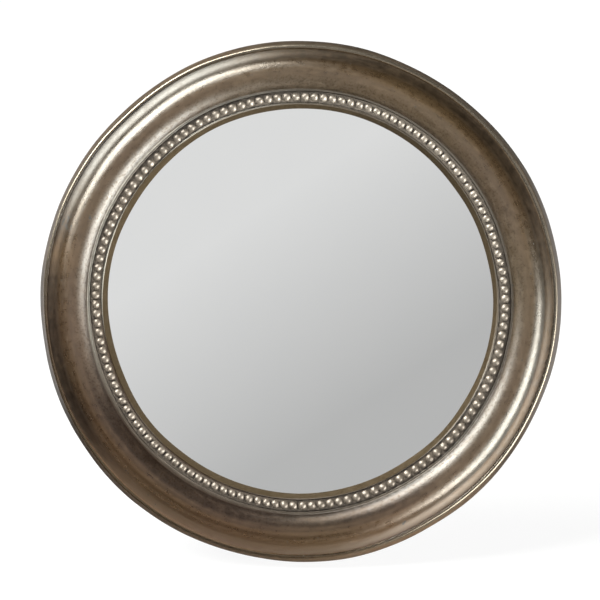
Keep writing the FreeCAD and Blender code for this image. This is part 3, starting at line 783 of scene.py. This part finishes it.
# %% [markdown]
# ## The mirror glass
# The plate is plain, flat float glass, silvered behind. Its solid already has the right shape, so it only gets
# a finish: a metal shader that reflects almost everything, with the slightest cloudy haze, so that it isn't a
# perfect computer mirror.

# %% The mirror's finish
mirror_glass, glass_shader, place = new_finish("mirror_glass")
haze = lie_down(place).noise(35, 3.0)
connect(tint(haze, rgb(0.905, 0.915, 0.912), rgb(0.925, 0.93, 0.925)), glass_shader.inputs["Base Color"])
connect(0.012 + haze * 0.012, glass_shader.inputs["Roughness"])
glass_shader.inputs["Metallic"].default_value = 1.0
put_on(mirror_glass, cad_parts["mirror_plate"])

# %% [markdown]
# ## Board, card, nickel and brass
# The board and the strut are covered with short black flock: almost no shine, a soft sheen, and a nap that lies
# in cloudy patches, with lint caught here and there. The card between glass and board is brown kraft, full of
# fibres. The hinge is nickelled steel with fine brush lines, and the tabs, hanger and screws are pressed brass
# that has begun to tarnish.

# %% Black flock and kraft card
black_board, flock_shader, place = new_finish("black_board")
nap = place.noise(30, 3.0, 0.6)
tufts = place.noise(420, 3.0, 0.6)
fibres = place.noise(1900, 2.0, 0.7)
lint = place.noise(520, 1.0) > 0.755
lie = ((nap - 0.5) * 1.3 + (tufts - 0.5) * 1.2 + (fibres - 0.5) * 1.4 + 0.45).clamp()
flock_colour = tint(lie, rgb(0.006, 0.006, 0.007), rgb(0.050, 0.047, 0.045))
flock_colour = tint(lint * 0.35, flock_colour, rgb(0.15, 0.145, 0.14))
connect(flock_colour, flock_shader.inputs["Base Color"])
connect((0.82 + (nap - 0.5) * 0.2).clamp(), flock_shader.inputs["Roughness"])
flock_shader.inputs["Sheen Weight"].default_value = 0.22
flock_shader.inputs["Specular IOR Level"].default_value = 0.25
relief = fibres + tufts * 0.8 + nap * 0.5
emboss(flock_shader, relief, strength=0.45, depth=0.4)
put_on(black_board, board, leg)

kraft_card, card_shader, place = new_finish("kraft_card")
pulp = place.noise(420, 4.0, 0.65)
threads = place.add("Mapping", None, {"Vector": place, "Scale": (160.0, 900.0, 900.0)}).noise(1.0, 2.0)
connect(tint((pulp * 0.7 + threads * 0.5 - 0.1).clamp(), rgb(0.20, 0.125, 0.065), rgb(0.42, 0.29, 0.165)),
        card_shader.inputs["Base Color"])
connect(0.78 + pulp * 0.15, card_shader.inputs["Roughness"])
emboss(card_shader, pulp, strength=0.2, depth=0.15)
put_on(kraft_card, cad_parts["backing_sheet"])

# %% Nickel and brass
nickel, nickel_shader, place = new_finish("nickel_hinge")
lines = place.add("Mapping", None, {"Vector": place, "Scale": (90.0, 2600.0, 2600.0)}).noise(1.0, 3.0, 0.6)
clouds = place.noise(140, 3.0)
spots = place.noise(900, 2.0) > 0.70
nickel_colour = tint((lines * 0.5 + clouds * 0.5).clamp(), rgb(0.42, 0.405, 0.375), rgb(0.66, 0.645, 0.61))
nickel_colour = tint(spots * 0.5, nickel_colour, rgb(0.24, 0.21, 0.17))
connect(nickel_colour, nickel_shader.inputs["Base Color"])
connect((0.24 + lines * 0.14 + clouds * 0.08 + spots * 0.12).clamp(), nickel_shader.inputs["Roughness"])
nickel_shader.inputs["Metallic"].default_value = 1.0
emboss(nickel_shader, lines, strength=0.06, depth=0.05)
put_on(nickel, fixed_leaf, swing_leaf, pin, board_rivets, leg_rivets)

brass, brass_shader, place = new_finish("brass_plate")
tarnish = place.noise(110, 4.0, 0.62)
rub = place.noise(750, 3.0, 0.6)
dull = ((tarnish - 0.46) * 4.0 + (rub - 0.5) * 0.9).clamp()
connect(tint(dull, rgb(0.66, 0.49, 0.215), rgb(0.31, 0.205, 0.085)), brass_shader.inputs["Base Color"])
connect((0.24 + dull * 0.20 + (rub - 0.5) * 0.12).clamp(), brass_shader.inputs["Roughness"])
brass_shader.inputs["Metallic"].default_value = 1.0
emboss(brass_shader, rub, strength=0.08, depth=0.08)
put_on(brass, *tabs, hanger, tab_screws, hanger_screws)

# %% [markdown]
# ## The studio
# The floor is a wide pale disc. The camera sees it as plain white, a little whiter far away, while the object's
# shadow stays on it. Two big soft boxes light the frame from the upper left and the lower right, which gives the
# roll its two pairs of long highlights, and a weaker round lamp lights the back. What the glass and the leaf mirror
# is a light grey card in front, shaded across, with a soft edge that fades into dark, warm grey walls all round.
# A plain white card on the floor behind does the same for the metal of the back. Cards and walls are seen by
# reflections only, never by the camera.

# %% Helpers for the studio


def glow(name):
    """A material with nothing but an emission shader: the emission node and the place as a wire."""
    material = bpy.data.materials.new(name)
    material.use_nodes = True
    tree = material.node_tree
    tree.nodes.remove(tree.nodes["Principled BSDF"])
    emission = tree.nodes.new("ShaderNodeEmission")
    tree.links.new(emission.outputs[0], tree.nodes["Material Output"].inputs[0])
    place = Wire(tree.nodes.new("ShaderNodeTexCoord").outputs["Object"])
    return material, emission, place


def reflections_only(card):
    """A card that only reflections see: no camera, no shadow, no bounced light."""
    card.visible_camera = False
    card.visible_diffuse = False
    card.visible_shadow = False
    card.visible_transmission = False


def seen_directly(tree):
    """1 for what the camera sees, also in a mirror or through glass, and 0 for light that bounces."""
    path = tree.nodes.new("ShaderNodeLightPath")
    seen = Wire(path.outputs["Is Camera Ray"]) + Wire(path.outputs["Is Glossy Ray"])
    return (seen + Wire(path.outputs["Is Transmission Ray"])).clamp()


def how_far(place):
    """The distance from an object's middle, in metres."""
    return place.add("VectorMath", {"operation": "LENGTH"}, {0: place}, out=1)


# %% The floor
FLOOR_R = 20
NEAR_WHITE, FAR_START, FAR_WIDTH = 0.92, 1.0, 2

floor = start("floor", bpy.ops.mesh.primitive_circle_add, vertices=96, radius=FLOOR_R, fill_type="NGON")
floor.visible_shadow = False
floor.visible_glossy = False
floor_white = bpy.data.materials.new("floor_white")
floor_white.use_nodes = True
floor_tree = floor_white.node_tree
seen = seen_directly(floor_tree)
floor_paint = floor_tree.nodes["Principled BSDF"]
floor_paint.inputs["Base Color"].default_value = rgb(0.86, 0.86, 0.86)
floor_paint.inputs["Roughness"].default_value = 0.9
floor_paint.inputs["Specular IOR Level"].default_value = 0.0
white = Wire(floor_tree.nodes.new("ShaderNodeEmission").outputs[0])
place = Wire(floor_tree.nodes.new("ShaderNodeTexCoord").outputs["Object"])
far = ((how_far(place) - FAR_START) / FAR_WIDTH).clamp()
whiteness = seen * (NEAR_WHITE + far * (1 - NEAR_WHITE))
mixed = seen.add("MixShader", None, {0: whiteness, 1: Wire(floor_paint.outputs[0]), 2: white})
connect(mixed, floor_tree.nodes["Material Output"].inputs[0])
put_on(floor_white, floor)

# %% Walls, the card in front and the floor behind
WALLS = rgb(0.10, 0.085, 0.070)
CARD_AWAY, CARD_SIZE = 2.1, 3.0
CARD_MIDDLE, CARD_ACROSS, CARD_UP = 0.626, 0.548, 0.813
CARD_DARKEST, CARD_BRIGHTEST = 0.499, 0.766
FADE_START, FADE_WIDTH = 0.65, 0.8
BEHIND = (0, 1.62, 0)

walls = start("grey_walls", bpy.ops.mesh.primitive_uv_sphere_add, segments=48, ring_count=24, radius=7)
walls_paint, walls_glow, place = glow("grey_walls")
walls_glow.inputs["Color"].default_value = WALLS
put_on(walls_paint, walls)
reflections_only(walls)

card = start("front_card", bpy.ops.mesh.primitive_plane_add, size=CARD_SIZE)
ahead = Vector((0, -math.cos(LEAN), math.sin(LEAN)))
card.location = CENTRE + ahead * CARD_AWAY
card.rotation_euler = (-ahead).to_track_quat("Z", "Y").to_euler()
card_paint, card_glow, place = glow("front_card")
split = place.add("SeparateXYZ", None, {0: place})
shade = CARD_MIDDLE + split * CARD_ACROSS + Wire(split.socket.node.outputs[1]) * CARD_UP
shade = shade.maths("MINIMUM", shade, CARD_BRIGHTEST)
shade = shade.maths("MAXIMUM", shade, CARD_DARKEST)
faded = ((how_far(place) - FADE_START) / FADE_WIDTH).clamp()
connect(tint(faded, rgb(1, 1, 1), WALLS), card_glow.inputs["Color"])
connect(shade * (1 - faded) + faded, card_glow.inputs["Strength"])
put_on(card_paint, card)
reflections_only(card)

floor_behind = start("floor_behind", bpy.ops.mesh.primitive_plane_add, size=CARD_SIZE, location=BEHIND)
behind_paint, behind_glow, place = glow("floor_behind")
behind_glow.inputs["Strength"].default_value = 0.8
put_on(behind_paint, floor_behind)
reflections_only(floor_behind)

# %% Soft boxes and the light behind
BOX_OFF_AXIS, BOX_AWAY = math.radians(66), 1.5
BOX_LENGTH, BOX_WIDTH = 1.6, 0.95
BOX_COLOUR = (0.965, 0.995, 0.945)


def from_mirror(x, y, n):
    """A direction given across, up and out of the mirror, turned to the standing mirror."""
    return Vector((x, y * math.sin(LEAN) - n * math.cos(LEAN), y * math.cos(LEAN) + n * math.sin(LEAN)))


def soft_box(name, azimuth, watts):
    """A long oval lamp that looks at the mirror; azimuth runs clockwise from the mirror's top."""
    turn = math.radians(azimuth)
    side = math.sin(BOX_OFF_AXIS)
    outwards = from_mirror(side * math.sin(turn), side * math.cos(turn), math.cos(BOX_OFF_AXIS))
    length_way = from_mirror(math.cos(turn), -math.sin(turn), 0)
    lamp = start(name, bpy.ops.object.light_add, type="AREA", location=CENTRE + outwards * BOX_AWAY)
    lamp.rotation_euler = Matrix((length_way, outwards.cross(length_way), outwards)).transposed().to_euler()
    lamp.data.shape = "ELLIPSE"
    lamp.data.size, lamp.data.size_y = BOX_LENGTH, BOX_WIDTH
    lamp.data.energy = watts
    lamp.data.color = BOX_COLOUR
    lamp.visible_camera = False


soft_box("soft_box_left", azimuth=320, watts=114)
soft_box("soft_box_right", azimuth=120, watts=98)

fill = start("soft_box_behind", bpy.ops.object.light_add, type="AREA", location=(0.5, 2.0, 0.95))
fill.rotation_euler = (fill.location - CENTRE).to_track_quat("Z", "Y").to_euler()
fill.data.shape = "DISK"
fill.data.size = 1.4
fill.data.energy = 30
fill.visible_camera = False
fill.visible_glossy = False

# %% Sky and camera
AIR = 0.12
VIEW_SIDE = math.radians(1)
DISTANCE = 1.8
SENSOR = 36
PHOTO_PX, OUTLINE_PX, SHIFT_PX = 600, 260.4, 1.4
OUTLINE_R = 149.6 * MM

world = bpy.data.worlds.new("studio_air")
bpy.context.scene.world = world
world.use_nodes = True
sky = world.node_tree.nodes["Background"]
connect(seen_directly(world.node_tree) * (1 - AIR) + AIR, sky.inputs["Strength"])
sky.inputs["Color"].default_value = rgb(1, 1, 1)

view_out = from_mirror(math.sin(VIEW_SIDE), 0, math.cos(VIEW_SIDE))
camera = start("Camera", bpy.ops.object.camera_add, location=CENTRE + view_out * DISTANCE)
camera.rotation_euler = view_out.to_track_quat("Z", "Y").to_euler()
camera.data.sensor_width = SENSOR
camera.data.lens = SENSOR * (OUTLINE_PX / PHOTO_PX) * DISTANCE / OUTLINE_R
camera.data.shift_y = SHIFT_PX / PHOTO_PX
camera.data.clip_end = 100
bpy.context.scene.camera = camera
bpy.context.scene.view_settings.view_transform = "Standard"
print("camera lens:", round(camera.data.lens, 2), "mm")
